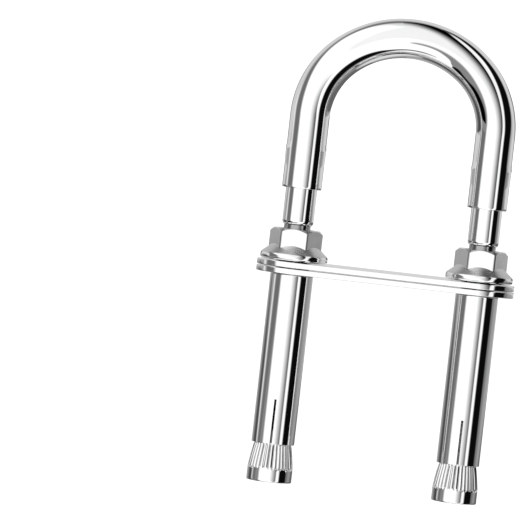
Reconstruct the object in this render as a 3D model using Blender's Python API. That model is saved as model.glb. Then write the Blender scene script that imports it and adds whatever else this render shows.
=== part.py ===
"""Wall-fixing U-bolt: a bent bar held by flanged nuts over two plates, anchored by two expansion sleeves.

Metres, +Z up. The origin is the middle of the lower plate's underside, which rests on the wall.
The two legs run down -Z at X = -LEG_X and +LEG_X, and the bow stands in the XZ plane.
"""

from math import asin, cos, pi, radians, sin, sqrt

import bmesh
import bpy
from mathutils import Vector

MM = 0.001
CLEARANCE = 0.3 * MM  # left between pieces that touch

# the bent bar
LEG_X = 30.0 * MM
BEND_Z = 51.25 * MM
SHOULDER_BEND_R = 27.0 * MM  # of the bar's middle line, where each leg turns in
SHOULDER_BEND_ANGLE = radians(50.0)
BAR_R = 6.4 * MM
BAR_FOOT_Z = 27.6 * MM
BAR_FOOT_CHAMFER = 0.15 * MM
SHANK_R = 5.05 * MM
SHANK_FOOT_Z = 15.7 * MM
SHANK_ROUND = 1.4 * MM
NECK_R = 4.3 * MM
NECK_FOOT_Z = 13.4 * MM
THREAD_R = 4.9 * MM
THREAD_RUNOUT = 0.6 * MM
TIP_CHAMFER = 1.0 * MM
TIP_RECESS = 1.0 * MM

# the two plates
PLATE_THICKNESS = 1.8 * MM
PLATE_HALF_WIDTH = 11.7 * MM
PLATE_HOLE_R = 5.5 * MM
PLATE_MIDDLE_X = 20.0 * MM  # the rectangle between the round ends stops here, clear of the sleeves
PLATE_CROWN = 0.02 * MM  # by which the punched sides stand out at the rectangle's corners

# the flanged nuts
NUT_HEIGHT = 10.2 * MM
NUT_ACROSS_FLATS = 15.0 * MM
NUT_BORE_R = THREAD_R + CLEARANCE
NUT_TOP_CIRCLE_R = 7.4 * MM
FLANGE_R = 10.9 * MM
FLANGE_RIM = 1.95 * MM
FLANGE_EDGE = 0.5 * MM
FLANGE_EDGE_STEP = 0.3 * FLANGE_EDGE  # of the rim's rounding, drawn as two flats
FLANGE_SLOPE = radians(42.0)

# the expansion sleeves
SLEEVE_R = 6.925 * MM
SLEEVE_WALL = 0.7 * MM
SLEEVE_LENGTH = 54.8 * MM
SLOT_LENGTH = 14.5 * MM
SLOT_WIDTH = 0.7 * MM
LEAVES_PER_SLEEVE = 4
SLOT_TURN = {"left": radians(-5.0), "right": radians(-2.0)}  # of the front slot, away from -Y

# the expansion cones
CONE_TOP_R = 5.75 * MM
CONE_MOUTH_R = 6.05 * MM
CONE_R = 7.3 * MM
CONE_ABOVE_MOUTH = 4.5 * MM
CONE_TAPER = 7.2 * MM
CONE_BELOW_MOUTH = 12.3 * MM
CONE_SWELL = 0.2  # how far the taper bulges from a straight line
CONE_CHAMFER = 0.3 * MM
CONE_BORE_R = THREAD_R + CLEARANCE

SHARP_ANGLE = radians(30.0)
BAR_SIDES = 36
BEND_STEP_ANGLE = radians(4.0)
SHANK_ROUND_STEPS = 5
TURNED_STEPS = 48
CONE_TAPER_STEPS = 5
PLATE_END_STEPS = 24
LEAF_STEPS = 10

# where the pieces stand along Z
UPPER_PLATE_Z = PLATE_THICKNESS + CLEARANCE
NUT_FOOT_Z = UPPER_PLATE_Z + PLATE_THICKNESS + CLEARANCE
SLEEVE_TOP_Z = -CLEARANCE
SLEEVE_MOUTH_Z = SLEEVE_TOP_Z - SLEEVE_LENGTH
SLOT_ROOT_Z = SLEEVE_MOUTH_Z + SLOT_LENGTH
CONE_FOOT_Z = SLEEVE_MOUTH_Z - CONE_BELOW_MOUTH
LEG_TIP_Z = CONE_FOOT_Z + TIP_RECESS

SIDES = {"left": -1, "right": 1}


def clear_scene():
    for obj in list(bpy.data.objects):
        bpy.data.objects.remove(obj, do_unlink=True)


def steel(name, shade, roughness):
    """Polished stainless steel of one shade."""
    material = bpy.data.materials.new(name)
    material.use_nodes = True
    shader = material.node_tree.nodes["Principled BSDF"]
    shader.inputs["Base Color"].default_value = (shade, shade, shade * 1.01, 1.0)
    shader.inputs["Roughness"].default_value = roughness
    shader.inputs["Metallic"].default_value = 1.0
    return material


def mesh_from(bm, name):
    """Turn the bmesh into a mesh whose faces point out, smooth except at sharp edges."""
    bmesh.ops.recalc_face_normals(bm, faces=bm.faces)
    mesh = bpy.data.meshes.new(name)
    bm.to_mesh(mesh)
    bm.free()
    mesh.shade_smooth()
    mesh.set_sharp_from_angle(angle=SHARP_ANGLE)
    return mesh


def place(name, mesh, location, parent=None, material=None):
    """Add an object; its location is counted from its parent's."""
    obj = bpy.data.objects.new(name, mesh)
    bpy.context.scene.collection.objects.link(obj)
    obj.parent = parent
    obj.location = location
    if material:
        obj.data.materials.append(material)
    return obj


def turned(outline, steps=TURNED_STEPS, angle=2 * pi, start=0.0):
    """Spin a closed outline of (radius, height) points about Z: a ring for a full turn, else a wedge."""
    bm = bmesh.new()
    corners = [bm.verts.new((r * cos(start), r * sin(start), z)) for r, z in outline]
    face = bm.faces.new(corners)
    full_turn = angle >= 2 * pi
    geometry = list(face.edges) if full_turn else [face, *face.edges, *face.verts]
    if full_turn:
        bm.faces.remove(face)
    bmesh.ops.spin(
        bm,
        geom=geometry,
        cent=(0, 0, 0),
        axis=(0, 0, 1),
        angle=angle,
        steps=steps,
        use_merge=full_turn,
        use_normal_flip=False,
        use_duplicate=False,
    )
    return bm


def prism(outline, height):
    """Extrude a closed outline of (x, y) points up from z = 0."""
    bm = bmesh.new()
    foot = bm.faces.new([bm.verts.new((x, y, 0.0)) for x, y in outline])
    raised = bmesh.ops.extrude_face_region(bm, geom=[foot])
    moved = [item for item in raised["geom"] if isinstance(item, bmesh.types.BMVert)]
    bmesh.ops.translate(bm, verts=moved, vec=(0, 0, height))
    return bm


def cutter(name, bm, location=(0, 0, 0), parent=None):
    """A hidden guide for a Boolean."""
    obj = place(name, mesh_from(bm, name), location, parent)
    obj.hide_render = True
    obj.display_type = "WIRE"
    return obj


def boolean(obj, operation, tool):
    modifier = obj.modifiers.new(operation.lower(), "BOOLEAN")
    modifier.operation = operation
    modifier.solver = "EXACT"
    modifier.object = tool


def leg_stations():
    """(radius, height) down one leg, from the end of the bend to the tip."""
    thread_top = NECK_FOOT_Z - THREAD_RUNOUT
    stations = [
        (BAR_R, BAR_FOOT_Z + BAR_FOOT_CHAMFER),
        (BAR_R - BAR_FOOT_CHAMFER, BAR_FOOT_Z),
        (SHANK_R, BAR_FOOT_Z),
    ]
    for i in range(SHANK_ROUND_STEPS + 1):
        turn = i / SHANK_ROUND_STEPS * pi / 2
        radius = NECK_R + (SHANK_R - NECK_R) * cos(turn)
        stations.append((radius, SHANK_FOOT_Z + SHANK_ROUND * (1 - sin(turn))))
    stations += [
        (NECK_R, NECK_FOOT_Z),
        (THREAD_R, thread_top),
        (THREAD_R, LEG_TIP_Z + TIP_CHAMFER),
        (THREAD_R - TIP_CHAMFER, LEG_TIP_Z),
    ]
    return stations


def extend_leg(bm, ring, axis_x):
    """Extrude a ring of edges down through the leg's stations and close the tip."""
    for radius, height in leg_stations():
        grown = bmesh.ops.extrude_edge_only(bm, edges=ring)
        ring = [item for item in grown["geom"] if isinstance(item, bmesh.types.BMEdge)]
        for vert in {v for edge in ring for v in edge.verts}:
            outward = Vector((vert.co.x - axis_x, vert.co.y, 0)).normalized()
            vert.co = Vector((axis_x, 0, height)) + outward * radius
    bmesh.ops.edgeloop_fill(bm, edges=ring)


def bow_arcs():
    """(centre x, centre z, angle) of the three arcs over the top, each tangent to the next."""
    shoulder_x = LEG_X - SHOULDER_BEND_R
    extra_r = shoulder_x / cos(SHOULDER_BEND_ANGLE)  # by which the crown's arc is the larger
    crown_z = BEND_Z - extra_r * sin(SHOULDER_BEND_ANGLE)
    return [
        (-shoulder_x, BEND_Z, SHOULDER_BEND_ANGLE),
        (0.0, crown_z, pi - 2 * SHOULDER_BEND_ANGLE),
        (shoulder_x, BEND_Z, SHOULDER_BEND_ANGLE),
    ]


def make_bow():
    """One bar: the arch, then both legs with their shank, neck, thread diameter and chamfered tip."""
    bm = bmesh.new()
    bmesh.ops.create_circle(bm, segments=BAR_SIDES, radius=BAR_R, cap_ends=False)
    bmesh.ops.translate(bm, verts=bm.verts, vec=(-LEG_X, 0, BEND_Z))
    first_ring = list(bm.edges)
    ring = first_ring
    for centre_x, centre_z, angle in bow_arcs():
        bent = bmesh.ops.spin(
            bm,
            geom=ring,
            cent=(centre_x, 0, centre_z),
            axis=(0, 1, 0),
            angle=angle,
            steps=round(angle / BEND_STEP_ANGLE),
            use_merge=False,
            use_normal_flip=False,
            use_duplicate=False,
        )
        ring = [item for item in bent["geom_last"] if isinstance(item, bmesh.types.BMEdge)]
    extend_leg(bm, first_ring, -LEG_X)
    extend_leg(bm, ring, LEG_X)
    return place("bow", mesh_from(bm, "bow"), (0, 0, 0), material=steel("bow_steel", 0.86, 0.06))


def ring_of(bm, centre_x, radius, steps):
    """A closed loop of edges around a leg."""
    turns = [2 * pi * i / steps for i in range(steps)]
    corners = [bm.verts.new((centre_x + radius * cos(a), radius * sin(a), 0.0)) for a in turns]
    return [bm.edges.new((corners[i], corners[i - 1])) for i in range(steps)]


def plate_end(bm, end, corners):
    """Fill the plate from the rectangle's two corners around the full round end, less the leg's hole."""
    arc = []
    for i in range(PLATE_END_STEPS + 1):
        turn = -pi / 2 + pi * i / PLATE_END_STEPS
        x = end * (LEG_X + PLATE_HALF_WIDTH * cos(turn))
        arc.append(bm.verts.new((x, PLATE_HALF_WIDTH * sin(turn), 0.0)))
    rim = [corners[0], *arc, corners[1]]
    edges = [bm.edges.new(pair) for pair in zip(rim, rim[1:])]
    edges.append(bm.edges.get(corners) or bm.edges.new(corners))
    edges += ring_of(bm, end * LEG_X, PLATE_HOLE_R, TURNED_STEPS)
    bmesh.ops.triangle_fill(bm, use_beauty=True, use_dissolve=False, edges=edges)


def make_plate(name, foot_z):
    """A flat plate with full round ends centred on the legs and a clearance hole for each leg."""
    bm = bmesh.new()
    corner_y = PLATE_HALF_WIDTH + PLATE_CROWN
    corners = {}
    for end in SIDES.values():
        corners[end] = tuple(bm.verts.new((end * PLATE_MIDDLE_X, y, 0.0)) for y in (-corner_y, corner_y))
    bm.faces.new([*corners[1], *reversed(corners[-1])])
    for end in SIDES.values():
        plate_end(bm, end, corners[end])
    raised = bmesh.ops.extrude_face_region(bm, geom=list(bm.faces))
    moved = [item for item in raised["geom"] if isinstance(item, bmesh.types.BMVert)]
    bmesh.ops.translate(bm, verts=moved, vec=(0, 0, PLATE_THICKNESS))
    place(name, mesh_from(bm, name), (0, 0, foot_z), material=steel(name + "_steel", 0.84, 0.1))


def flange_outline():
    """(radius, height) around the flange's section, with its cone run up inside the hexagon."""
    inner_r = NUT_TOP_CIRCLE_R - CLEARANCE
    cone_height = (FLANGE_R - FLANGE_EDGE_STEP - inner_r) * sin(FLANGE_SLOPE) / cos(FLANGE_SLOPE)
    return [
        (NUT_BORE_R - CLEARANCE, 0.0),
        (FLANGE_R - FLANGE_EDGE, 0.0),
        (FLANGE_R - FLANGE_EDGE_STEP, FLANGE_EDGE_STEP),
        (FLANGE_R, FLANGE_EDGE),
        (FLANGE_R, FLANGE_RIM - FLANGE_EDGE_STEP),
        (FLANGE_R - FLANGE_EDGE_STEP, FLANGE_RIM),
        (inner_r, FLANGE_RIM + cone_height),
        (NUT_BORE_R - CLEARANCE, FLANGE_RIM + cone_height),
    ]


def envelope_outline():
    """(radius, height) around a drum whose top edge chamfers the hexagon's corners."""
    drum_r = 2 * NUT_TOP_CIRCLE_R
    inner_r = NUT_BORE_R / 2
    return [
        (inner_r, -NUT_HEIGHT),
        (drum_r, -NUT_HEIGHT),
        (drum_r, NUT_HEIGHT - (drum_r - NUT_TOP_CIRCLE_R)),
        (NUT_TOP_CIRCLE_R, NUT_HEIGHT),
        (inner_r, NUT_HEIGHT),
    ]


def make_nut(side, sign):
    """A hexagon with a conical flange under it; its origin is on the leg's axis, on the flange's face."""
    name = "nut_" + side
    corner_r = NUT_ACROSS_FLATS / sqrt(3)
    hexagon = [(corner_r * cos(i * pi / 3), corner_r * sin(i * pi / 3)) for i in range(6)]
    nut = place(
        name,
        mesh_from(prism(hexagon, NUT_HEIGHT), name),
        (sign * LEG_X, 0, NUT_FOOT_Z),
        material=steel(name + "_steel", 0.84, 0.12),
    )
    boolean(nut, "INTERSECT", cutter(name + "_envelope", turned(envelope_outline()), parent=nut))
    boolean(nut, "UNION", cutter(name + "_flange", turned(flange_outline()), parent=nut))
    bore = bmesh.new()
    bmesh.ops.create_cone(
        bore,
        cap_ends=True,
        segments=TURNED_STEPS,
        radius1=NUT_BORE_R,
        radius2=NUT_BORE_R,
        depth=4 * NUT_HEIGHT,
    )
    boolean(nut, "DIFFERENCE", cutter(name + "_bore", bore, parent=nut))


def make_leaf(sleeve, name, turn):
    """One of the sleeve's spring leaves, from the slot roots to the mouth; it bends about its origin."""
    inner_r = SLEEVE_R - SLEEVE_WALL
    bend_r = SLEEVE_R - SLEEVE_WALL / 2
    top = SLOT_ROOT_Z - CLEARANCE
    outline = [
        (inner_r, SLEEVE_MOUTH_Z - top),
        (SLEEVE_R, SLEEVE_MOUTH_Z - top),
        (SLEEVE_R, 0.0),
        (inner_r, 0.0),
    ]
    half_slot = asin(SLOT_WIDTH / 2 / bend_r)
    width = 2 * pi / LEAVES_PER_SLEEVE - 2 * half_slot
    bm = turned(outline, LEAF_STEPS, width, turn - width / 2)
    bend_line = Vector((bend_r * cos(turn), bend_r * sin(turn), 0))
    bmesh.ops.translate(bm, verts=bm.verts, vec=-bend_line)
    place(
        name,
        mesh_from(bm, name),
        bend_line + Vector((0, 0, top - SLEEVE_TOP_Z)),
        parent=sleeve,
        material=steel(name + "_steel", 0.82, 0.08),
    )


def make_sleeve(side, sign):
    """A thin tube that turns on the leg, whose lower end is slotted into spring leaves."""
    name = "sleeve_" + side
    inner_r = SLEEVE_R - SLEEVE_WALL
    foot = SLOT_ROOT_Z - SLEEVE_TOP_Z
    outline = [(inner_r, foot), (SLEEVE_R, foot), (SLEEVE_R, 0.0), (inner_r, 0.0)]
    sleeve = place(
        name,
        mesh_from(turned(outline), name),
        (sign * LEG_X, 0, SLEEVE_TOP_Z),
        material=steel(name + "_steel", 0.82, 0.08),
    )
    leaf_angle = 2 * pi / LEAVES_PER_SLEEVE
    front_slot = -pi / 2 + SLOT_TURN[side]
    for i in range(LEAVES_PER_SLEEVE):
        make_leaf(sleeve, f"{name}_leaf_{i + 1}", front_slot + (i + 0.5) * leaf_angle)


def cone_outline():
    """(radius, height) around the cone's section, counted from the sleeve's mouth."""
    taper = []
    for i in range(CONE_TAPER_STEPS + 1):
        share = i / CONE_TAPER_STEPS
        growth = share * (1 + CONE_SWELL * (1 - share))
        taper.append((CONE_MOUTH_R + (CONE_R - CONE_MOUTH_R) * growth, -(CLEARANCE + CONE_TAPER * share)))
    return [
        (CONE_BORE_R, CONE_ABOVE_MOUTH),
        (CONE_TOP_R, CONE_ABOVE_MOUTH),
        *taper,
        (CONE_R, -CONE_BELOW_MOUTH + CONE_CHAMFER),
        (CONE_R - CONE_CHAMFER, -CONE_BELOW_MOUTH),
        (CONE_BORE_R, -CONE_BELOW_MOUTH),
    ]


def make_cone(side, sign, bow):
    """The tapered nut on the leg's end, which spreads the sleeve's leaves when it is drawn up."""
    name = "cone_" + side
    place(
        name,
        mesh_from(turned(cone_outline()), name),
        (sign * LEG_X, 0, SLEEVE_MOUTH_Z),
        parent=bow,
        material=steel(name + "_steel", 0.8, 0.14),
    )


def main():
    clear_scene()
    bow = make_bow()
    make_plate("lower_plate", 0.0)
    make_plate("upper_plate", UPPER_PLATE_Z)
    for side, sign in SIDES.items():
        make_nut(side, sign)
        make_sleeve(side, sign)
        make_cone(side, sign, bow)


main()
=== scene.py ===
"""The looks of the wall-fixing U-bolt: mirror-polished stainless steel in a white studio.

Metres, in the CAD frame. Each piece is built on the box of the CAD node that it stands for.
"""

from collections import namedtuple
from math import asin, atan2, cos, pi, radians, sin, sqrt, tan

import bmesh
import bpy
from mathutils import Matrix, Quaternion, Vector


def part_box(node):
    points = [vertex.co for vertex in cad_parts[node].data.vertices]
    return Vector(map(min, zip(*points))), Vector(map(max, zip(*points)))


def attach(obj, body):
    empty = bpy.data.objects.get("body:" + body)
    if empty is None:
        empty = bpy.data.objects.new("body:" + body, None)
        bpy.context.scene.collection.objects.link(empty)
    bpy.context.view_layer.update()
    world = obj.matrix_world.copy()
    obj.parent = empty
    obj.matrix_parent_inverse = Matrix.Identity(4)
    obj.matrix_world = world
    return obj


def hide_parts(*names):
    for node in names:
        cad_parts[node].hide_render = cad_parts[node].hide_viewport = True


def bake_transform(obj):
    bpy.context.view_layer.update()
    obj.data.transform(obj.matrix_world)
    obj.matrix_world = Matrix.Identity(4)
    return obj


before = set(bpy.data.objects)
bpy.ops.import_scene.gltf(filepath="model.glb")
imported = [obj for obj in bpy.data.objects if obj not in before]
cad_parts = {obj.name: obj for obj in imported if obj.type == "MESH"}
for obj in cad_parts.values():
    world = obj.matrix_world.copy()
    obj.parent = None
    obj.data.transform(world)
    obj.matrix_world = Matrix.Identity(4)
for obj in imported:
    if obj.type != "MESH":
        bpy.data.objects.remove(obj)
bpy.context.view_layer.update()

MM = 0.001
SIDES = {"left": -1, "right": 1}

# ---- places and sizes read from the frame ----

bow_low, bow_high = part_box("bow")
nut_low, nut_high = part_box("nut_right")
sleeve_low, sleeve_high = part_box("sleeve_right")
leaf_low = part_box("sleeve_right_leaf_1")[0]
cone_low, cone_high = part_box("cone_right")
plate_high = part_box("upper_plate")[1]

LEG_X = (nut_low.x + nut_high.x) / 2
BAR_R = (bow_high.y - bow_low.y) / 2
LEG_TIP_Z = bow_low.z
NUT_FOOT_Z = nut_low.z
NUT_HEIGHT = nut_high.z - nut_low.z
FLANGE_R = (nut_high.y - nut_low.y) / 2
SLEEVE_R = (sleeve_high.y - sleeve_low.y) / 2
SLEEVE_TOP_Z = sleeve_high.z
SLOT_ROOT_Z = sleeve_low.z
MOUTH_Z = leaf_low.z
CONE_R = (cone_high.y - cone_low.y) / 2
CONE_TOP_Z = cone_high.z
CONE_FOOT_Z = cone_low.z
PLATE_END_R = plate_high.x - LEG_X

# ---- the bent bar ----

BEND_Z = 51.25 * MM
SHOULDER_BEND_R = 27.0 * MM
SHOULDER_BEND_ANGLE = radians(50.0)
BEND_STEP = radians(1.25)
BAR_SIDES = 72
LEG_STEPS = 40
BAR_FOOT_Z = 27.6 * MM
BAR_FOOT_EDGE = 0.18 * MM
SHANK_R = 5.05 * MM
SHANK_FOOT_Z = 15.7 * MM
SHANK_ROUND = 1.4 * MM
SHANK_ROUND_STEPS = 10
NECK_R = 4.3 * MM
NECK_FOOT_Z = 13.4 * MM
THREAD_R = 4.9 * MM
THREAD_PITCH = 1.5 * MM
THREAD_DEPTH = 0.92 * MM
THREAD_RUNOUT = 1.5 * MM
THREAD_STEPS = 8  # rings of points in each pitch
CREST_SHARE = 0.125
ROOT_SHARE = 0.18
TIP_CHAMFER = 1.0 * MM
CLAMP_TOP_Z = 41.0 * MM  # where the bending tool held each leg
CLAMP_FOOT_Z = 35.0 * MM
CLAMP_HEIGHT = 0.16 * MM
CLAMP_EDGE = 0.5 * MM
CLAMP_FALL_OFF = 8  # how quickly the raised part ends on either side of the grip

# ---- the flanged nuts ----

NUT_SIDES = 6
FLAT_TURN = 2 * pi / NUT_SIDES  # the angle that one flat takes up
NUT_ACROSS_FLATS = 15.0 * MM
NUT_CORNER_ROUND = 0.7 * MM
NUT_TURN = {"left": radians(-4.0), "right": 0.0}
NUT_BORE_R = 5.2 * MM
NUT_BORE_CHAMFER = 0.5 * MM
NUT_TOP_CIRCLE_R = 7.4 * MM
NUT_EDGE = 0.15 * MM
FLANGE_RIM = 1.95 * MM
FLANGE_FOOT_ROUND = 0.7 * MM
FLANGE_TOP_ROUND = 1.1 * MM
FLANGE_TOP_DRAW = 0.1 * MM
FLANGE_SLOPE = radians(41.0)
STEPS_PER_FLAT = 22

# ---- the plates ----

PLATE_HOLE_R = 5.5 * MM
PLATE_ROLLED_EDGE = 0.22 * MM
PLATE_HOLE_EDGE = 0.15 * MM
PLATE_END_STEPS = 64
HOLE_STEPS = 72

# ---- the expansion sleeves ----

SLEEVE_WALL = 0.7 * MM
SLEEVE_TOP_ROUND = 0.25 * MM
MOUTH_ROUND = 0.15 * MM
SLOT_WIDTH = 0.7 * MM
LEAVES = 4
SLOT_TURN = {"left": radians(-5.0), "right": radians(-2.0)}
LEAF_STEPS = 24
LEAF_BEND = 2.0 * MM  # the length below the slot's root over which a leaf bends
LEAF_BEND_STEPS = 8

# ---- the expansion cones ----

CONE_TOP_R = 5.75 * MM
CONE_MOUTH_R = 6.05 * MM
CONE_TAPER = 7.2 * MM
CONE_SWELL = 0.2  # how far the taper bulges above a straight one
CONE_START = 0.3 * MM  # below the sleeve's mouth
CONE_FOOT_EDGE = 0.25 * MM
CONE_BORE_R = 5.2 * MM
CONE_BORE_CHAMFER = 0.6 * MM
FLUTES = 37
FLUTE_DEPTH = 0.27 * MM
FLUTE_END = 8.2 * MM  # below the sleeve's mouth, where each flute runs out
FLUTE_STEPS = 10
CONE_ROWS = 44

# ---- every piece ----

FILLET_STEPS = 4
FILLET_SHARE = 0.45  # the most of either side of a corner that its fillet may take
SHARP_ANGLE = radians(35.0)

# ---- the finishes; shades run from black at 0 to white at 1 ----

NOISE_LOW = 0.3  # the noise lies mostly between these two values
NOISE_HIGH = 0.7
TINT_LOW = 0.35
TINT_HIGH = 0.65
TINT_BLUE = 0.005  # how much the darker tint leans to blue
CUT_START_Z = SHANK_FOOT_Z + 0.2 * MM  # the neck and thread, as cut and rougher, and darkened with painted shade
CUT_FULL_Z = SHANK_FOOT_Z - 0.1 * MM
CUT_PAINTED_SHADE = 0.4
CUT_ROUGHNESS = 0.12
TURNED_TILT = 0.7  # the upward part of the normal on the nut's chamfer and flange
TURNED_FULL = 0.12
TURNED_END = 0.22
# the turned faces are rougher, and their colour is darkened as painted shade
TURNED_PAINTED_SHADE = 0.66
TURNED_ROUGHNESS = 0.2
CORNER_FULL = 0.02  # how far from a nut's corner its painted dark line of reflection reaches, in flats
CORNER_END = 0.05
CORNER_REACH = 8.8 * MM  # from the nut's axis, between the hexagon and the flange's rim
# the grey of the painted reflection lines down the nuts' corners
CORNER_PAINTED_SHADE = 0.3
HIDDEN_START_Z = MOUTH_Z + 0.1 * MM  # the cone's end inside the sleeve, darkened with painted shade
HIDDEN_FULL_Z = MOUTH_Z + 0.4 * MM
HIDDEN_PAINTED_SHADE = 0.12

# ---- the camera and the studio ----

CAMERA_LENS = 400.0
CAMERA_DISTANCE = 1.862
CAMERA_AIM = Vector((-40.74, 0.0, 3.12)) * MM
CAMERA_AZIMUTH = radians(1.0)
CAMERA_ELEVATION = radians(2.2)
CAMERA_ROLL = radians(6.45)
CAMERA_REACH = 10 * CAMERA_DISTANCE
DISPLAY_GAMMA = 2.2
STEEL_REFLECTS = 0.92
FRONT_SHADE = 0.95
BACKDROP_LIGHT = 1.2  # straight to the camera, which shows as plain white
FLAG_TIP = 0.002  # of a turn, past a flag's tip
FLOOR_HALF = 3.0
FLOOR_DROP = 16.0 * MM  # below the cones' feet at rest, clear of them when they are unscrewed
FLOOR_SHADE = 0.5
FLOOR_ROUGHNESS = 0.9
FLOOR_LIGHT = 0.8


# ======== meshes ========


def rings_to_mesh(name, rings, around=False):
    """Join each closed ring of points to the next; the last joins the first, or both ends are capped."""
    count = len(rings[0])
    points = [point for ring in rings for point in ring]
    faces = []
    for i in range(len(rings) if around else len(rings) - 1):
        here = i * count
        there = (i + 1) % len(rings) * count
        for j in range(count):
            k = (j + 1) % count
            faces.append((here + j, here + k, there + k, there + j))
    if not around:
        faces.append(tuple(range(count)))
        faces.append(tuple(range(len(points) - count, len(points))))
    mesh = bpy.data.meshes.new(name)
    mesh.from_pydata(points, [], faces)
    return mesh


def add_piece(name, mesh, material, body, nodes):
    """Put the mesh in the scene as a piece that stands for the CAD nodes and rides on the body, if any."""
    bm = bmesh.new()
    bm.from_mesh(mesh)
    bmesh.ops.recalc_face_normals(bm, faces=bm.faces)
    bm.to_mesh(mesh)
    bm.free()
    mesh.shade_smooth()
    mesh.set_sharp_from_angle(angle=SHARP_ANGLE)
    mesh.materials.append(material)
    piece = bpy.data.objects.new(name, mesh)
    bpy.context.scene.collection.objects.link(piece)
    weighted = piece.modifiers.new("weighted_normals", "WEIGHTED_NORMAL")
    weighted.keep_sharp = True
    if body:
        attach(piece, body)
    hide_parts(*nodes)
    return piece


def rounded(corners):
    """The closed outline of (radius, height, fillet) corners; a corner with a fillet becomes an arc."""
    outline = []
    for i, (radius, height, fillet) in enumerate(corners):
        corner = Vector((radius, height))
        if not fillet:
            outline.append(corner)
            continue
        before = Vector(corners[i - 1][:2]) - corner
        after = Vector(corners[(i + 1) % len(corners)][:2]) - corner
        half = before.angle(after) / 2
        reach = min(fillet / tan(half), FILLET_SHARE * before.length, FILLET_SHARE * after.length)
        arc_r = reach * tan(half)
        centre = corner + (before.normalized() + after.normalized()).normalized() * (arc_r / sin(half))
        first = corner + before.normalized() * reach - centre
        last = corner + after.normalized() * reach - centre
        for step in range(FILLET_STEPS + 1):
            share = step / FILLET_STEPS
            blended = first.lerp(last, share)
            outline.append(centre + blended.normalized() * arc_r)
    return outline


def around_leg(centre_x, turn, outline):
    """The outline of (radius, height) points, turned to the direction turn about a leg's axis."""
    return [(centre_x + r * cos(turn), r * sin(turn), z) for r, z in outline]


# ---- the bar ----


def thread_radius(turn, height):
    """Radius of the right-handed ridge: a flat crest, straight flanks and a flat root."""
    share = (height / THREAD_PITCH - turn / (2 * pi)) % 1.0
    from_root = abs(share - 0.5) * 2
    flank = (from_root - ROOT_SHARE) / (1 - ROOT_SHARE - CREST_SHARE)
    return THREAD_R - THREAD_DEPTH * (1 - min(max(flank, 0.0), 1.0))


def threaded_radius(turn, height):
    """The thread, running out into the neck above and cut by the chamfer at the tip."""
    radius = thread_radius(turn, height)
    share = min(max((NECK_FOOT_Z - height) / THREAD_RUNOUT, 0.0), 1.0)
    radius = NECK_R + (radius - NECK_R) * share
    chamfer = THREAD_R - TIP_CHAMFER + (height - LEG_TIP_Z)
    return min(radius, chamfer)


def clamped_radius(turn, height):
    """The full bar, raised a little on its two sides where the bending tool gripped it."""
    rise = min(max((height - CLAMP_FOOT_Z) / (CLAMP_TOP_Z - CLAMP_FOOT_Z), 0.0), 1.0)
    fall = min(max((CLAMP_TOP_Z + CLAMP_EDGE - height) / CLAMP_EDGE, 0.0), 1.0)
    return BAR_R + CLAMP_HEIGHT * rise * fall * abs(cos(turn)) ** CLAMP_FALL_OFF


def plain_radius(radius):
    """A radius rule that gives the same radius everywhere."""
    return lambda turn, height: radius


def leg_rows():
    """(height, radius rule) down one leg, from the bend to the tip."""
    rows = []
    for i in range(LEG_STEPS):
        height = BEND_Z + (BAR_FOOT_Z + BAR_FOOT_EDGE - BEND_Z) * i / LEG_STEPS
        rows.append((height, clamped_radius))
    for i in range(FILLET_STEPS + 1):
        turn = i / FILLET_STEPS * pi / 2
        radius = BAR_R - BAR_FOOT_EDGE * (1 - cos(turn))
        height = BAR_FOOT_Z + BAR_FOOT_EDGE * (1 - sin(turn))
        rows.append((height, plain_radius(radius)))
    rows.append((BAR_FOOT_Z, plain_radius(SHANK_R)))
    for i in range(SHANK_ROUND_STEPS + 1):
        turn = i / SHANK_ROUND_STEPS * pi / 2
        radius = NECK_R + (SHANK_R - NECK_R) * cos(turn)
        height = SHANK_FOOT_Z + SHANK_ROUND * (1 - sin(turn))
        rows.append((height, plain_radius(radius)))
    rows.append((NECK_FOOT_Z, plain_radius(NECK_R)))
    thread_rows = round((NECK_FOOT_Z - LEG_TIP_Z) / THREAD_PITCH * THREAD_STEPS)
    for i in range(1, thread_rows + 1):
        rows.append((NECK_FOOT_Z + (LEG_TIP_Z - NECK_FOOT_Z) * i / thread_rows, threaded_radius))
    return rows


def leg_rings(side):
    """Rings of points down one leg; the first point of each faces away from the other leg."""
    rings = []
    for height, rule in leg_rows():
        ring = []
        for j in range(BAR_SIDES):
            away = 2 * pi * j / BAR_SIDES
            turn = away if side > 0 else pi - away
            radius = rule(turn, height)
            ring.append((side * LEG_X + radius * cos(turn), radius * sin(turn), height))
        rings.append(ring)
    return rings


def arch_rings():
    """Rings of points over the three arcs, from the left leg to the right one."""
    shoulder_x = LEG_X - SHOULDER_BEND_R
    crown_extra_r = shoulder_x / cos(SHOULDER_BEND_ANGLE)
    crown_z = BEND_Z - crown_extra_r * sin(SHOULDER_BEND_ANGLE)
    arcs = [
        (-shoulder_x, BEND_Z, SHOULDER_BEND_R, pi, pi - SHOULDER_BEND_ANGLE),
        (0.0, crown_z, SHOULDER_BEND_R + crown_extra_r, pi - SHOULDER_BEND_ANGLE, SHOULDER_BEND_ANGLE),
        (shoulder_x, BEND_Z, SHOULDER_BEND_R, SHOULDER_BEND_ANGLE, 0.0),
    ]
    rings = []
    for centre_x, centre_z, bend_r, first, last in arcs:
        steps = round((first - last) / BEND_STEP)
        for i in range(1, steps + 1):
            direction = first + (last - first) * i / steps
            outward = Vector((cos(direction), 0, sin(direction)))
            middle = Vector((centre_x, 0, centre_z)) + outward * bend_r
            ring = []
            for j in range(BAR_SIDES):
                away = 2 * pi * j / BAR_SIDES
                ring.append(middle + outward * (BAR_R * cos(away)) + Vector((0, BAR_R * sin(away), 0)))
            rings.append(ring)
    return rings


def make_bar(material):
    """The whole bent bar in one mesh, from the left leg's tip to the right one's."""
    rings = list(reversed(leg_rings(-1))) + arch_rings() + leg_rings(1)[1:]
    add_piece("bent_bar", rings_to_mesh("bent_bar", rings), material, "bow", ["bow"])


# ---- the nuts ----


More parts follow.
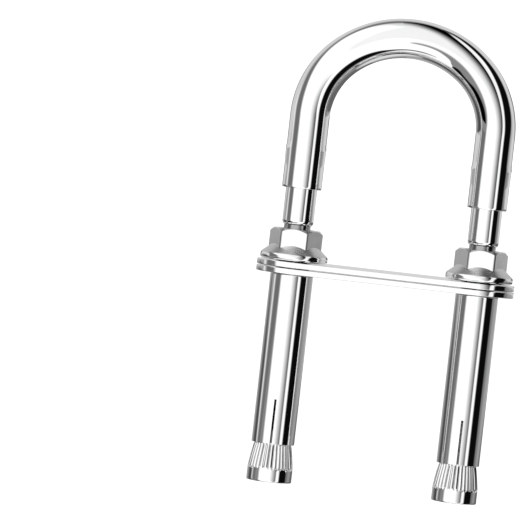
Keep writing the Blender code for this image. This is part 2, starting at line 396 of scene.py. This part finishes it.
def hexagon_radius(turn):
    """Distance from the nut's axis to its side in one direction; a corner points along X."""
    flat = NUT_ACROSS_FLATS / 2
    half_turn = FLAT_TURN / 2
    from_corner = abs((turn + half_turn) % FLAT_TURN - half_turn)
    inner = (flat - NUT_CORNER_ROUND) / cos(half_turn)
    if from_corner < corner_reach():
        return inner * cos(from_corner) + sqrt(NUT_CORNER_ROUND**2 - (inner * sin(from_corner)) ** 2)
    return flat / cos(half_turn - from_corner)


def corner_reach():
    """The angle from a corner's middle to where its rounding meets the flat."""
    half_turn = FLAT_TURN / 2
    inner = (NUT_ACROSS_FLATS / 2 - NUT_CORNER_ROUND) / cos(half_turn)
    return atan2(NUT_CORNER_ROUND * sin(half_turn), inner + NUT_CORNER_ROUND * cos(half_turn))


def nut_turns():
    """Directions around the nut: close together at the six corners, even along the flats."""
    reach = corner_reach()
    span = FLAT_TURN - 2 * reach
    turns = []
    for corner in range(NUT_SIDES):
        middle = 2 * pi * corner / NUT_SIDES
        turns += [middle - reach, middle - reach / 2, middle, middle + reach / 2]
        turns += [middle + reach + span * i / STEPS_PER_FLAT for i in range(STEPS_PER_FLAT)]
    return turns


def nut_outline(turn):
    """The nut's section in one direction: bore, flange foot, rim, cone, flat, chamfer and top."""
    hex_r = hexagon_radius(turn)
    rim_top_r = FLANGE_R - FLANGE_TOP_DRAW
    cone_meets = FLANGE_RIM + (rim_top_r - hex_r) * tan(FLANGE_SLOPE)
    chamfer_starts = NUT_HEIGHT - (hex_r - NUT_TOP_CIRCLE_R)
    corners = [
        (NUT_BORE_R + NUT_BORE_CHAMFER, 0.0, 0),
        (FLANGE_R, 0.0, FLANGE_FOOT_ROUND),
        (FLANGE_R, FLANGE_RIM, FLANGE_TOP_ROUND),
        (hex_r, cone_meets, NUT_EDGE),
        (hex_r, chamfer_starts, NUT_EDGE),
        (NUT_TOP_CIRCLE_R, NUT_HEIGHT, NUT_EDGE),
        (NUT_BORE_R + NUT_BORE_CHAMFER, NUT_HEIGHT, 0),
        (NUT_BORE_R, NUT_HEIGHT - NUT_BORE_CHAMFER, 0),
        (NUT_BORE_R, NUT_BORE_CHAMFER, 0),
    ]
    return [(r, z + NUT_FOOT_Z) for r, z in rounded(corners)]


def make_nut(side, sign, material):
    """One nut with its flange; the two were left turned a little differently."""
    rings = [around_leg(sign * LEG_X, turn + NUT_TURN[side], nut_outline(turn)) for turn in nut_turns()]
    name = f"flanged_nut_{side}"
    node = f"nut_{side}"
    add_piece(name, rings_to_mesh(name, rings, around=True), material, node, [node])


# ---- the plates ----


def plate_rim(bm, inset, height):
    """A closed loop of points around the plate, inset from its outline."""
    loop = []
    radius = PLATE_END_R - inset
    for sign in (1, -1):
        for i in range(PLATE_END_STEPS + 1):
            turn = pi * i / PLATE_END_STEPS - pi / 2
            x = sign * (LEG_X + radius * cos(turn))
            y = sign * radius * sin(turn)
            loop.append(bm.verts.new((x, y, height)))
    return loop


def hole_rim(bm, sign, grow, height):
    """A closed loop of points around one leg's hole."""
    radius = PLATE_HOLE_R + grow
    turns = [2 * pi * i / HOLE_STEPS for i in range(HOLE_STEPS)]
    return [bm.verts.new((sign * LEG_X + radius * cos(a), radius * sin(a), height)) for a in turns]


def wall_profile(low, high, edge):
    """(how far back, height) up a wall whose two edges are rounded."""
    turns = [pi / 2 * i / FILLET_STEPS for i in range(FILLET_STEPS + 1)]
    foot = [(edge * (1 - sin(a)), low + edge * (1 - cos(a))) for a in turns]
    top = [(edge * (1 - cos(a)), high - edge * (1 - sin(a))) for a in turns]
    return foot + top


def bridge(bm, lower, upper):
    """Quads between two closed loops of the same length."""
    for i in range(len(lower)):
        bm.faces.new((lower[i - 1], lower[i], upper[i], upper[i - 1]))


def loop_edges(bm, loop):
    """The edges between the points of a closed loop."""
    return [bm.edges.get((loop[i - 1], loop[i])) for i in range(len(loop))]


def make_plate(node, material):
    """One plate: its outer wall and the walls of its two holes, closed by a flat face below and above."""
    low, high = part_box(node)
    bm = bmesh.new()
    outer_profile = wall_profile(low.z, high.z, PLATE_ROLLED_EDGE)
    hole_profile = wall_profile(low.z, high.z, PLATE_HOLE_EDGE)
    walls = [[plate_rim(bm, back, z) for back, z in outer_profile]]
    for sign in SIDES.values():
        walls.append([hole_rim(bm, sign, back, z) for back, z in hole_profile])
    for loops in walls:
        for lower, upper in zip(loops, loops[1:]):
            bridge(bm, lower, upper)
    for end in (0, -1):
        edges = [edge for loops in walls for edge in loop_edges(bm, loops[end])]
        bmesh.ops.triangle_fill(bm, use_beauty=True, use_dissolve=False, edges=edges)
    name = f"steel_{node}"
    mesh = bpy.data.meshes.new(name)
    bm.to_mesh(mesh)
    bm.free()
    add_piece(name, mesh, material, "wall_side", [node])


# ---- the sleeves ----


def leaf_turns(side, leaf):
    """Directions across one leaf of a sleeve, from slot to slot."""
    half_slot = asin(SLOT_WIDTH / 2 / (SLEEVE_R - SLEEVE_WALL / 2))
    first = -pi / 2 + SLOT_TURN[side] + leaf * 2 * pi / LEAVES + half_slot
    width = 2 * pi / LEAVES - 2 * half_slot
    return [first + width * i / LEAF_STEPS for i in range(LEAF_STEPS + 1)]


def make_tube(side, sign, material):
    """The sleeve's whole tube above its slots."""
    inner_r = SLEEVE_R - SLEEVE_WALL
    outline = rounded([
        (inner_r, SLOT_ROOT_Z, 0),
        (SLEEVE_R, SLOT_ROOT_Z, 0),
        (SLEEVE_R, SLEEVE_TOP_Z, SLEEVE_TOP_ROUND),
        (inner_r, SLEEVE_TOP_Z, SLEEVE_TOP_ROUND),
    ])
    turns = [turn for leaf in range(LEAVES) for turn in leaf_turns(side, leaf)]
    rings = [around_leg(sign * LEG_X, turn, outline) for turn in turns]
    name = f"sleeve_tube_{side}"
    node = f"sleeve_{side}"
    add_piece(name, rings_to_mesh(name, rings, around=True), material, node, [node])


def make_leaf(side, sign, leaf, material):
    """One spring leaf, from the slots' roots, where it meets the tube, down to the mouth, with close rows
    just below the roots.
    """
    inner_r = SLEEVE_R - SLEEVE_WALL
    heights = [SLOT_ROOT_Z - LEAF_BEND * i / LEAF_BEND_STEPS for i in range(LEAF_BEND_STEPS + 1)]
    down = [(SLEEVE_R, z, 0) for z in heights]
    up = [(inner_r, z, 0) for z in reversed(heights)]
    mouth = [(SLEEVE_R, MOUTH_Z, MOUTH_ROUND), (inner_r, MOUTH_Z, MOUTH_ROUND)]
    outline = rounded(down + mouth + up)
    rings = [around_leg(sign * LEG_X, turn, outline) for turn in leaf_turns(side, leaf)]
    name = f"spring_leaf_{side}_{leaf + 1}"
    sleeve = f"sleeve_{side}"
    node = f"{sleeve}_leaf_{leaf + 1}"
    piece = add_piece(name, rings_to_mesh(name, rings), material, None, [node])
    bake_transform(piece)


# ---- the cones ----


def taper_radius(below):
    """Radius of the cone's plain taper at a depth below the sleeve's mouth."""
    share = min(max((below - CONE_START) / CONE_TAPER, 0.0), 1.0)
    return CONE_MOUTH_R + (CONE_R - CONE_MOUTH_R) * share * (1 + CONE_SWELL * (1 - share))


def fluted_radius(turn, below):
    """The taper with a round-bottomed flute cut along it, which runs out on the plain band."""
    across = abs((turn * FLUTES / (2 * pi)) % 1.0 - 0.5) * 2  # 0 at a flute's middle, 1 at the ridge
    floor_r = taper_radius(below) - FLUTE_DEPTH
    taper_end = CONE_START + CONE_TAPER
    if below > taper_end:
        floor_r += FLUTE_DEPTH * (below - taper_end) / (FLUTE_END - taper_end)
    return min(CONE_R, floor_r + FLUTE_DEPTH * across**2)


def cone_outline(turn):
    """The cone's section in one direction."""
    fluted = []
    for i in range(CONE_ROWS + 1):
        below = CONE_START + (FLUTE_END - CONE_START) * i / CONE_ROWS
        fluted.append((fluted_radius(turn, below), MOUTH_Z - below, 0))
    # the two extra points near the ends of the plain band keep its shading straight
    return rounded([
        (CONE_BORE_R, CONE_TOP_Z, 0),
        (CONE_TOP_R, CONE_TOP_Z, 0),
        *fluted,
        (CONE_R, MOUTH_Z - FLUTE_END - CONE_FOOT_EDGE, 0),
        (CONE_R, CONE_FOOT_Z + 2 * CONE_FOOT_EDGE, 0),
        (CONE_R, CONE_FOOT_Z, CONE_FOOT_EDGE),
        (CONE_BORE_R + CONE_BORE_CHAMFER, CONE_FOOT_Z, 0),
        (CONE_BORE_R, CONE_FOOT_Z + CONE_BORE_CHAMFER, 0),
    ])


def make_cone(side, sign, material):
    """One cone with its flutes."""
    steps = FLUTES * FLUTE_STEPS
    turns = [2 * pi * i / steps for i in range(steps)]
    rings = [around_leg(sign * LEG_X, turn, cone_outline(turn)) for turn in turns]
    name = f"fluted_cone_{side}"
    node = f"cone_{side}"
    add_piece(name, rings_to_mesh(name, rings, around=True), material, node, [node])


# ======== materials ========


def link(tree, source, target):
    """Join an output socket to an input socket."""
    tree.links.new(source, target)


def add_math(tree, operation, first, second=None):
    """A Math node on sockets or numbers."""
    node = tree.nodes.new("ShaderNodeMath")
    node.operation = operation
    for socket, value in zip(node.inputs, (first, second)):
        if isinstance(value, (int, float)):
            socket.default_value = value
        elif value is not None:
            link(tree, value, socket)
    return node.outputs["Value"]


def split_place(tree, coordinates):
    """The X, Y and Z of one kind of coordinates over the piece."""
    place = tree.nodes.new("ShaderNodeTexCoord")
    split = tree.nodes.new("ShaderNodeSeparateXYZ")
    link(tree, place.outputs[coordinates], split.inputs["Vector"])
    return split.outputs["X"], split.outputs["Y"], split.outputs["Z"]


def height_share(tree, start, end):
    """0 at the height start, 1 at the height end and held beyond both; end may be the lower one."""
    height = split_place(tree, "Object")[2]
    return remap(tree, height, start, end, 0.0, 1.0)


def steel(name, shade, roughness):
    """A bare polished steel; the finishes below vary its colour, roughness and surface."""
    material = bpy.data.materials.new(name)
    material.use_nodes = True
    shader = material.node_tree.nodes["Principled BSDF"]
    shader.inputs["Base Color"].default_value = (shade, shade, shade, 1.0)
    shader.inputs["Metallic"].default_value = 1.0
    shader.inputs["Roughness"].default_value = roughness
    return material, material.node_tree, shader


def noise(tree, stretch, scale, detail=3.0, roughness=0.55):
    """Noise over the piece's own coordinates, in millimetres, stretched along X, Y or Z."""
    place = tree.nodes.new("ShaderNodeTexCoord")
    mapping = tree.nodes.new("ShaderNodeMapping")
    mapping.inputs["Scale"].default_value = [part / MM for part in stretch]
    link(tree, place.outputs["Object"], mapping.inputs["Vector"])
    texture = tree.nodes.new("ShaderNodeTexNoise")
    texture.inputs["Scale"].default_value = scale
    texture.inputs["Detail"].default_value = detail
    texture.inputs["Roughness"].default_value = roughness
    link(tree, mapping.outputs["Vector"], texture.inputs["Vector"])
    return texture.outputs["Fac"]


def remap(tree, value, low, high, to_low, to_high):
    """The value, carried from one range to another and held inside it."""
    node = tree.nodes.new("ShaderNodeMapRange")
    node.inputs["From Min"].default_value = low
    node.inputs["From Max"].default_value = high
    node.inputs["To Min"].default_value = to_low
    node.inputs["To Max"].default_value = to_high
    link(tree, value, node.inputs["Value"])
    return node.outputs["Result"]


def polish(tree, pattern, smooth, rough):
    """A roughness between two values that follows the noise."""
    return remap(tree, pattern, NOISE_LOW, NOISE_HIGH, smooth, rough)


def tint(tree, value, dark, light):
    """A colour between two near-neutral shades of steel."""
    ramp = tree.nodes.new("ShaderNodeValToRGB")
    low, high = ramp.color_ramp.elements
    low.position = TINT_LOW
    low.color = (dark * (1 - TINT_BLUE), dark, dark * (1 + TINT_BLUE), 1.0)
    high.position = TINT_HIGH
    high.color = (light, light, light, 1.0)
    link(tree, value, ramp.inputs["Fac"])
    return ramp.outputs["Color"]


def darken(tree, colour, mask, shade):
    """The colour, replaced by a darker grey where the mask is 1."""
    node = tree.nodes.new("ShaderNodeMix")
    node.data_type = "RGBA"
    link(tree, mask, node.inputs["Factor"])
    link(tree, colour, node.inputs["A"])
    node.inputs["B"].default_value = (shade, shade, shade, 1.0)
    return node.outputs["Result"]


def bump(tree, height, distance, strength):
    """A normal tilted by the slope of the height."""
    node = tree.nodes.new("ShaderNodeBump")
    node.inputs["Distance"].default_value = distance
    node.inputs["Strength"].default_value = strength
    link(tree, height, node.inputs["Height"])
    return node.outputs["Normal"]


def bar_finish():
    """Mirror polish with cloudy traces of the wheel and a few hairlines; the neck and thread are as cut,
    rougher and darkened with painted shade.
    """
    material, tree, shader = steel("mirror_bar", shade=0.93, roughness=0.03)
    clouds = noise(tree, stretch=(1, 1, 1), scale=0.12, detail=2.0)
    hairlines = noise(tree, stretch=(1, 8, 1), scale=1.6, detail=4.0, roughness=0.7)
    cut = height_share(tree, CUT_START_Z, CUT_FULL_Z)
    # painted shade in the colour of the neck and thread
    colour = darken(tree, tint(tree, clouds, dark=0.92, light=0.945), cut, CUT_PAINTED_SHADE)
    roughness = polish(tree, clouds, smooth=0.02, rough=0.045)
    as_cut = add_math(tree, "MULTIPLY", cut, CUT_ROUGHNESS)
    link(tree, colour, shader.inputs["Base Color"])
    link(tree, add_math(tree, "ADD", roughness, as_cut), shader.inputs["Roughness"])
    link(tree, bump(tree, hairlines, distance=0.0005 * MM, strength=0.05), shader.inputs["Normal"])
    return material


def nut_finish():
    """Tumbled, with fine cross lines; the chamfer and the flange's cone are turned and softer, and their
    colour is darkened as painted shade; dark lines of painted reflection run down the corners.
    """
    material, tree, shader = steel("tumbled_nut", shade=0.92, roughness=0.06)
    clouds = noise(tree, stretch=(1, 1, 1), scale=0.3)
    cuts = noise(tree, stretch=(1, 1, 14), scale=1.2)
    upward = split_place(tree, "Normal")[2]
    off_tilt = add_math(tree, "ABSOLUTE", add_math(tree, "SUBTRACT", upward, TURNED_TILT))
    turned = remap(tree, off_tilt, TURNED_FULL, TURNED_END, 1.0, 0.0)
    # the turned faces get painted shade in their colour
    shades = darken(tree, tint(tree, clouds, dark=0.895, light=0.93), turned, TURNED_PAINTED_SHADE)
    roughness = polish(tree, clouds, smooth=0.05, rough=0.09)
    as_turned = add_math(tree, "MULTIPLY", turned, TURNED_ROUGHNESS)
    # dark lines of painted reflection down the nut's corners
    link(tree, darken(tree, shades, nut_painted_corner_line_mask(tree), CORNER_PAINTED_SHADE), shader.inputs["Base Color"])
    link(tree, add_math(tree, "ADD", roughness, as_turned), shader.inputs["Roughness"])
    link(tree, bump(tree, cuts, distance=0.001 * MM, strength=0.15), shader.inputs["Normal"])
    return material


def nut_painted_corner_line_mask(tree):
    """1 along the upright edges of either nut, where a dark line of painted reflection goes, and 0
    elsewhere.
    """
    x, y, _ = split_place(tree, "Object")
    outward = add_math(tree, "SUBTRACT", add_math(tree, "ABSOLUTE", x), LEG_X)
    turn = add_math(tree, "ARCTAN2", y, outward)
    masks = []
    for side, sign in SIDES.items():
        nut_turn = add_math(tree, "SUBTRACT", turn, sign * NUT_TURN[side])
        flats = add_math(tree, "MULTIPLY", nut_turn, 1 / FLAT_TURN)
        share = add_math(tree, "FRACT", add_math(tree, "ADD", flats, NUT_SIDES + 0.5))
        from_corner = add_math(tree, "ABSOLUTE", add_math(tree, "SUBTRACT", share, 0.5))
        on_edge = remap(tree, from_corner, CORNER_FULL, CORNER_END, 1.0, 0.0)
        this_side = add_math(tree, "GREATER_THAN", add_math(tree, "MULTIPLY", x, sign), 0.0)
        masks.append(add_math(tree, "MULTIPLY", on_edge, this_side))
    outward_square = add_math(tree, "MULTIPLY", outward, outward)
    squares = add_math(tree, "ADD", outward_square, add_math(tree, "MULTIPLY", y, y))
    on_hexagon = add_math(tree, "LESS_THAN", squares, CORNER_REACH**2)
    return add_math(tree, "MULTIPLY", add_math(tree, "ADD", *masks), on_hexagon)


def plate_finish():
    """Rolled sheet with polished faces and long rolling lines."""
    material, tree, shader = steel("rolled_plate", shade=0.92, roughness=0.05)
    clouds = noise(tree, stretch=(0.5, 1, 1), scale=0.25)
    rolling = noise(tree, stretch=(0.05, 6, 6), scale=1.4)
    link(tree, tint(tree, clouds, dark=0.905, light=0.935), shader.inputs["Base Color"])
    link(tree, polish(tree, clouds, smooth=0.03, rough=0.07), shader.inputs["Roughness"])
    link(tree, bump(tree, rolling, distance=0.001 * MM, strength=0.2), shader.inputs["Normal"])
    return material


def sleeve_finish():
    """Drawn tube: long lines down its length under the polish."""
    material, tree, shader = steel("drawn_sleeve", shade=0.92, roughness=0.04)
    lines = noise(tree, stretch=(7, 7, 0.04), scale=1.0, roughness=0.6)
    clouds = noise(tree, stretch=(1, 1, 0.4), scale=0.25, detail=2.0)
    link(tree, tint(tree, clouds, dark=0.905, light=0.935), shader.inputs["Base Color"])
    link(tree, polish(tree, lines, smooth=0.025, rough=0.06), shader.inputs["Roughness"])
    link(tree, bump(tree, lines, distance=0.004 * MM, strength=0.35), shader.inputs["Normal"])
    return material


def cone_finish():
    """Turned and fluted, with faint rings left by the tool; the end inside the sleeve is darkened with
    painted shade.
    """
    material, tree, shader = steel("turned_cone", shade=0.91, roughness=0.07)
    rings = noise(tree, stretch=(0.1, 0.1, 12), scale=1.0)
    clouds = noise(tree, stretch=(1, 1, 1), scale=0.4)
    inside_painted_shade = height_share(tree, HIDDEN_START_Z, HIDDEN_FULL_Z)
    # painted shade on the cone's end inside the sleeve
    colour = darken(tree, tint(tree, clouds, dark=0.88, light=0.92), inside_painted_shade, HIDDEN_PAINTED_SHADE)
    link(tree, colour, shader.inputs["Base Color"])
    link(tree, polish(tree, rings, smooth=0.04, rough=0.07), shader.inputs["Roughness"])
    link(tree, bump(tree, rings, distance=0.0005 * MM, strength=0.1), shader.inputs["Normal"])
    return material


# ======== the studio ========

Flag = namedtuple("Flag", "shade near_soft far_soft near far")

# Each flag hangs between a near and a far edge, whose points are (degrees around the camera's axis,
# degrees off it): 0 around is to the right and 90 is up, and 0 off is the camera. near_soft and far_soft
# are the widths in degrees of the edges' soft steps. A later flag hides an earlier one.
FLAGS = [
    # the white sheets beside, above and below the camera
    Flag(1.03, 16, 2,
         near=[(0, 46), (15, 50), (30, 60), (45, 68), (60, 84), (72, 104), (86, 80), (100, 60), (112, 44),
               (130, 26), (150, 4), (180, 0), (290, 0), (315, 14), (335, 28), (360, 46)],
         far=[(0, 180), (360, 180)]),
    # the overhead sheet's far end falls off into shade
    Flag(0.82, 30, 2,
         near=[(62, 100), (76, 76), (90, 72), (104, 90), (118, 116)],
         far=[(62, 180), (118, 180)]),
    # the pale wall behind
    Flag(0.8, 12, 2,
         near=[(0, 104), (360, 104)],
         far=[(0, 180), (360, 180)]),
    # a grey ring between the sheets and the wall, wide to the left
    Flag(0.42, 14, 22,
         near=[(66, 110), (75, 97), (90, 97), (105, 99), (120, 100), (135, 95), (142, 90), (150, 82),
               (160, 70), (170, 61), (180, 58), (188, 58), (197, 92)],
         far=[(66, 110), (75, 111), (90, 118), (105, 121), (120, 118), (135, 112), (150, 109), (160, 103),
              (170, 98), (180, 97), (190, 100), (197, 92)]),
    # the overhead sheet's shaded side, up to its edge at the right
    Flag(0.03, 44, 5,
         near=[(-40, 36), (-28, 24), (-15, 22), (0, 19), (15, 20), (30, 22), (45, 28), (60, 40),
               (75, 62), (88, 86), (96, 104)],
         far=[(-40, 30), (-28, 29), (-15, 33), (0, 38), (15, 40), (30, 46), (45, 55), (60, 71),
              (68, 86), (76, 106), (86, 110), (96, 104)]),
    # just below level behind, at the left and at the right
    Flag(0.62, 8, 2,
         near=[(180.2, 106), (188, 104)],
         far=[(180.2, 180), (188, 180)]),
    Flag(0.6, 10, 50,
         near=[(355, 96), (359.8, 100)],
         far=[(355, 138), (359.8, 156)]),
    # everything low down behind, then its darker left and right parts
    Flag(0.52, 6, 2,
         near=[(181, 130), (184, 104), (192, 92), (200, 86), (270, 85), (340, 84), (350, 88),
               (354, 98), (357, 135)],
         far=[(181, 180), (357, 180)]),
    Flag(0.28, 14, 28,
         near=[(181, 130), (184, 104), (190, 97), (200, 101), (210, 107), (220, 112), (240, 108),
               (256, 110), (264, 118)],
         far=[(181, 132), (190, 128), (200, 128), (220, 130), (250, 126), (264, 118)]),
    Flag(0.38, 20, 2,
         near=[(300, 130), (308, 122), (320, 114), (335, 106), (346, 99), (352, 105), (357, 150)],
         far=[(300, 180), (357, 180)]),
    # between these a bright part, and a paler one further behind at the left
    Flag(0.86, 16, 28,
         near=[(262, 116), (270, 108), (280, 104), (295, 107), (312, 120)],
         far=[(262, 116), (270, 122), (280, 128), (295, 134), (312, 120)]),
    Flag(0.66, 30, 2,
         near=[(181, 150), (190, 140), (240, 134), (262, 134), (276, 150)],
         far=[(181, 180), (276, 180)]),
    # two dark strips straight below, one in front and one level with the object
    Flag(0.36, 8, 6,
         near=[(253, 73), (262, 69), (270, 68), (282, 67), (292, 62)],
         far=[(253, 76), (262, 77), (270, 76), (282, 78), (292, 74)]),
    Flag(0.2, 8, 8,
         near=[(246, 99), (258, 92), (270, 91), (282, 92), (294, 97)],
         far=[(246, 100), (258, 100), (270, 102), (282, 101), (294, 99)]),
    # behind the black flag at the right
    Flag(0.36, 6, 34,
         near=[(-9, 80), (18, 92)],
         far=[(-9, 106), (0, 106), (18, 100)]),
    Flag(0.4, 16, 2,
         near=[(2, 144), (20, 142), (32, 152), (46, 172)],
         far=[(2, 180), (46, 180)]),
    # the black flag at the right
    Flag(0.07, 9, 12,
         near=[(-80, 76), (-74, 66), (-68, 59), (-60, 54), (-45, 50), (-30, 47), (-15, 49),
               (0, 51), (15, 54), (30, 64), (45, 77), (60, 89), (67, 98), (76, 107)],
         far=[(-80, 76), (-70, 82), (-60, 85), (-45, 85), (-30, 84), (-15, 88), (0, 95),
              (15, 105), (30, 108), (45, 108), (60, 112), (67, 113), (76, 107)]),
    # the grey wedge and the black flag low at the left
    Flag(0.52, 14, 8,
         near=[(184, 66), (190, 54), (200, 47), (210, 43), (220, 40), (230, 34), (240, 27),
               (250, 22), (262, 20), (270, 27)],
         far=[(184, 70), (190, 90), (200, 90), (236, 80), (242, 70), (245, 50), (250, 40),
              (256, 33), (270, 28)]),
    Flag(0.02, 9, 6,
         near=[(191, 60), (200, 58), (210, 60), (220, 64), (228, 72), (233, 70), (237, 64),
               (240, 68), (242, 78)],
         far=[(191, 64), (196, 86), (210, 87), (220, 86), (232, 86), (239, 84), (242, 78)]),
    # a grey strip behind at the left
    Flag(0.5, 8, 8,
         near=[(140, 160), (146, 152), (160, 148), (180, 148)],
         far=[(140, 160), (160, 164), (180, 164)]),
]


def grey(display):
    """Light that shows as this grey, from 0 to 1, after one reflection in the steel."""
    return display**DISPLAY_GAMMA / STEEL_REFLECTS


def edge_at(tree, around, start, points, closed):
    """How far off the camera's axis a flag's edge lies, in half turns, for each direction around that axis.

    The points run from start on; past the last of them the edge is where closed says, which hides the flag.
    """
    outline = []
    for degrees_around, degrees_off in points:
        outline.append(((degrees_around - start) / 360.0, degrees_off / 180.0))
    if outline[-1][0] < 1.0:
        outline += [(outline[-1][0] + FLAG_TIP, closed), (1.0, closed)]
    node = tree.nodes.new("ShaderNodeFloatCurve")
    curve = node.mapping.curves[0]
    while len(curve.points) < len(outline):
        curve.points.new(0.5, 0.5)  # placed below
    for point, place in zip(curve.points, outline):
        point.location = place
        point.handle_type = "AUTO_CLAMPED"
    node.mapping.update()
    turned = add_math(tree, "FRACT", add_math(tree, "SUBTRACT", around, start / 360.0))
    link(tree, turned, node.inputs["Value"])
    return node.outputs["Value"]


def past(tree, value, edge, softness):
    """0 before the edge and 1 after it, with a soft step softness degrees wide."""
    node = tree.nodes.new("ShaderNodeMapRange")
    node.interpolation_type = "SMOOTHSTEP"
    half = softness / 2 / 180.0
    node.inputs["From Min"].default_value = -half
    node.inputs["From Max"].default_value = half
    link(tree, add_math(tree, "SUBTRACT", value, edge), node.inputs["Value"])
    return node.outputs["Result"]


def lay_over(tree, light, shade, mask):
    """The light, replaced by a shade where the mask is 1."""
    node = tree.nodes.new("ShaderNodeMix")
    node.data_type = "FLOAT"
    link(tree, mask, node.inputs["Factor"])
    if isinstance(light, float):
        node.inputs["A"].default_value = light
    else:
        link(tree, light, node.inputs["A"])
    node.inputs["B"].default_value = grey(shade)
    return node.outputs["Result"]


def make_world():
    """A white studio hung with grey and black flags, which the steel shows as dark bands."""
    world = bpy.data.worlds.new("studio")
    bpy.context.scene.world = world
    world.use_nodes = True
    tree = world.node_tree
    tree.nodes.clear()
    direction = tree.nodes.new("ShaderNodeTexCoord")
    facing = tree.nodes.new("ShaderNodeMapping")
    facing.inputs["Rotation"].default_value = (CAMERA_ELEVATION, 0.0, -CAMERA_AZIMUTH)
    link(tree, direction.outputs["Generated"], facing.inputs["Vector"])
    split = tree.nodes.new("ShaderNodeSeparateXYZ")
    link(tree, facing.outputs["Vector"], split.inputs["Vector"])
    to_camera = add_math(tree, "MULTIPLY", split.outputs["Y"], -1.0)
    off_axis = add_math(tree, "DIVIDE", add_math(tree, "ARCCOSINE", to_camera), pi)
    angle = add_math(tree, "ARCTAN2", split.outputs["Z"], split.outputs["X"])
    around = add_math(tree, "FRACT", add_math(tree, "DIVIDE", angle, 2 * pi))
    light = grey(FRONT_SHADE)
    for flag in FLAGS:
        start = flag.near[0][0]
        after = past(tree, off_axis, edge_at(tree, around, start, flag.near, 1.0), flag.near_soft)
        beyond = past(tree, off_axis, edge_at(tree, around, start, flag.far, 0.0), flag.far_soft)
        within = add_math(tree, "MULTIPLY", after, add_math(tree, "SUBTRACT", 1.0, beyond))
        light = lay_over(tree, light, flag.shade, within)
    path = tree.nodes.new("ShaderNodeLightPath")
    seen = tree.nodes.new("ShaderNodeMix")
    seen.data_type = "FLOAT"
    link(tree, path.outputs["Is Camera Ray"], seen.inputs["Factor"])
    link(tree, light, seen.inputs["A"])
    seen.inputs["B"].default_value = BACKDROP_LIGHT
    background = tree.nodes.new("ShaderNodeBackground")
    background.inputs["Color"].default_value = (1.0, 1.0, 1.0, 1.0)
    link(tree, seen.outputs["Result"], background.inputs["Strength"])
    output = tree.nodes.new("ShaderNodeOutputWorld")
    link(tree, background.outputs["Background"], output.inputs["Surface"])


def make_floor():
    """A bright, pale floor below the anchors; the steel mirrors the studio, not the floor."""
    bm = bmesh.new()
    bmesh.ops.create_grid(bm, x_segments=1, y_segments=1, size=FLOOR_HALF)
    mesh = bpy.data.meshes.new("floor")
    bm.to_mesh(mesh)
    bm.free()
    floor = bpy.data.objects.new("floor", mesh)
    bpy.context.scene.collection.objects.link(floor)
    floor.location.z = CONE_FOOT_Z - FLOOR_DROP
    floor.visible_glossy = False
    material = bpy.data.materials.new("pale_floor")
    material.use_nodes = True
    tree = material.node_tree
    shader = tree.nodes["Principled BSDF"]
    shader.inputs["Base Color"].default_value = (FLOOR_SHADE, FLOOR_SHADE, FLOOR_SHADE, 1.0)
    shader.inputs["Roughness"].default_value = FLOOR_ROUGHNESS
    shader.inputs["Emission Color"].default_value = (1.0, 1.0, 1.0, 1.0)
    shader.inputs["Emission Strength"].default_value = FLOOR_LIGHT
    mesh.materials.append(material)


def make_camera():
    """A long lens, nearly level, turned and rolled a little; the object stands to the right of its aim."""
    camera = bpy.data.cameras.new("camera")
    camera.lens = CAMERA_LENS
    camera.clip_end = CAMERA_REACH
    holder = bpy.data.objects.new("camera", camera)
    bpy.context.scene.collection.objects.link(holder)
    level = cos(CAMERA_ELEVATION)
    back = Vector((sin(CAMERA_AZIMUTH) * level, -cos(CAMERA_AZIMUTH) * level, sin(CAMERA_ELEVATION)))
    holder.location = CAMERA_AIM + back * CAMERA_DISTANCE
    holder.rotation_mode = "QUATERNION"
    holder.rotation_quaternion = (-back).to_track_quat("-Z", "Y") @ Quaternion((0, 0, 1), CAMERA_ROLL)
    bpy.context.scene.camera = holder


def main():
    """Set up the studio and build every piece."""
    make_camera()
    make_world()
    make_floor()
    bpy.context.scene.view_settings.view_transform = "Standard"
    make_bar(bar_finish())
    plate_material = plate_finish()
    for node in ("lower_plate", "upper_plate"):
        make_plate(node, plate_material)
    nut_material = nut_finish()
    sleeve_material = sleeve_finish()
    cone_material = cone_finish()
    for side, sign in SIDES.items():
        make_nut(side, sign, nut_material)
        make_tube(side, sign, sleeve_material)
        for leaf in range(LEAVES):
            make_leaf(side, sign, leaf, sleeve_material)
        make_cone(side, sign, cone_material)


main()
